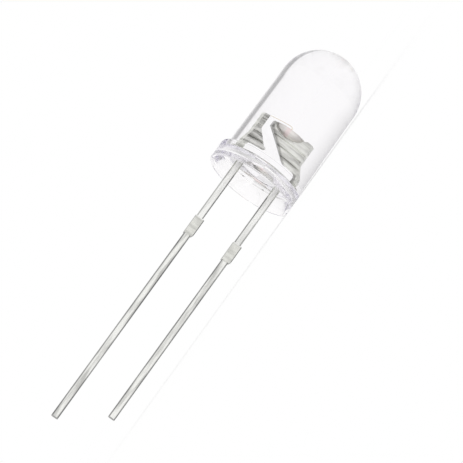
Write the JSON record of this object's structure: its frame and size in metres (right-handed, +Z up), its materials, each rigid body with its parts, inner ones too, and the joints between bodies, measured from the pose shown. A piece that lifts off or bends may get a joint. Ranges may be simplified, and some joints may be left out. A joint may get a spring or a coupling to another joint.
{
  "type": "through hole led",
  "caption": "Clear through hole LED: a cast epoxy lens with a domed end and a flatted flange, on a stamped tinned lead frame with a reflector cup.",
  "frame": {"origin": "centre of the seating plane, on the lens axis, midway between the leads", "axes": "+X along the lens axis from the seating ring to the dome, +Z up, towards the anode, the longer lead; the part lies on the flat of its flange, with the cathode below"},
  "size_m": [0.0263, 0.0054, 0.0052],
  "materials": {
    "clear_epoxy": "polished",
    "tinned_steel": "satin",
    "silver_adhesive": "satin",
    "chip": "satin",
    "gold_wire": "gloss"
  },
  "bodies": {
    "root": {"lens": "clear_epoxy", "anode_lead": "tinned_steel", "cathode_lead": "tinned_steel", "die_attach": "silver_adhesive", "led_chip": "chip", "bond_wire": "gold_wire"}
  },
  "joints": []
}
